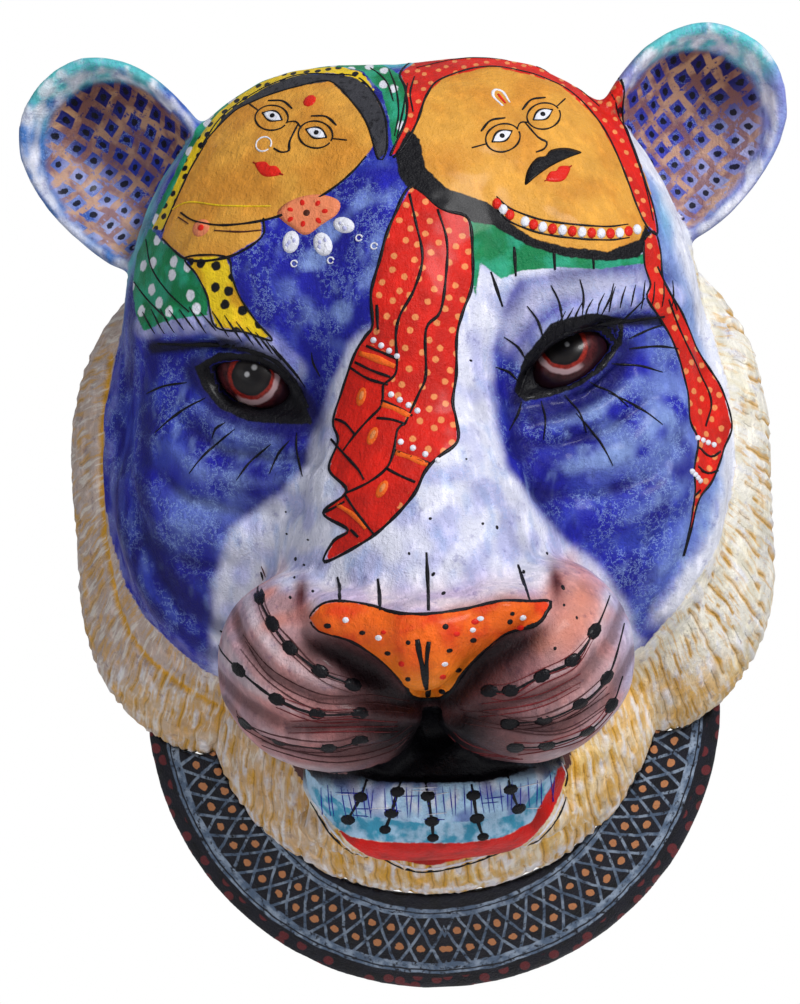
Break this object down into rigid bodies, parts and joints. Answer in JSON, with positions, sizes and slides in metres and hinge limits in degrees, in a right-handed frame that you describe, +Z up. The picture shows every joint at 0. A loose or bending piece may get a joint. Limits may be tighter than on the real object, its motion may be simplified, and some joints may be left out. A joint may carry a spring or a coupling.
{
  "type": "wall mask",
  "caption": "Painted big-cat head wall mask: moulded shell with muzzle, ears, fur ruff and a sloping patterned collar, and a hinged hanging ring inside the back.",
  "frame": {"origin": "on the wall plane, at the middle of the mask's back, inside the hoop's outline", "axes": "+X to the viewer's right, +Y out of the back into the wall, +Z up"},
  "size_m": [0.3378, 0.1836, 0.4241],
  "materials": {
    "painted_pulp": "varnished",
    "fur_pulp": "varnished",
    "collar_pulp": "varnished",
    "eye_resin": "gloss",
    "plywood": "raw",
    "softwood": "raw",
    "brass": "satin",
    "steel": "satin"
  },
  "bodies": {
    "mask": {"head_shell": "painted_pulp", "left_ear": "painted_pulp", "right_ear": "painted_pulp", "left_eye": "eye_resin", "right_eye": "eye_resin", "muzzle_left": "painted_pulp", "muzzle_right": "painted_pulp", "nose_pad": "painted_pulp", "chin": "painted_pulp", "lip_band": "painted_pulp", "ruff_left": "fur_pulp", "ruff_right": "fur_pulp", "chin_ruff": "fur_pulp", "collar": "collar_pulp", "back_hoop": "plywood", "batten": "softwood", "left_block": "softwood", "right_block": "softwood", "batten_screws": "brass", "hanger_strap": "steel", "hanger_screws": "brass"},
    "ring": {"hanger_ring": "steel"}
  },
  "joints": [
    {"name": "ring_hinge", "type": "hinge", "parent": "mask", "child": "ring", "pos_m": [0, -0.00224, 0.113], "axis": [1, 0, 0], "range_deg": [0, 178]}
  ]
}
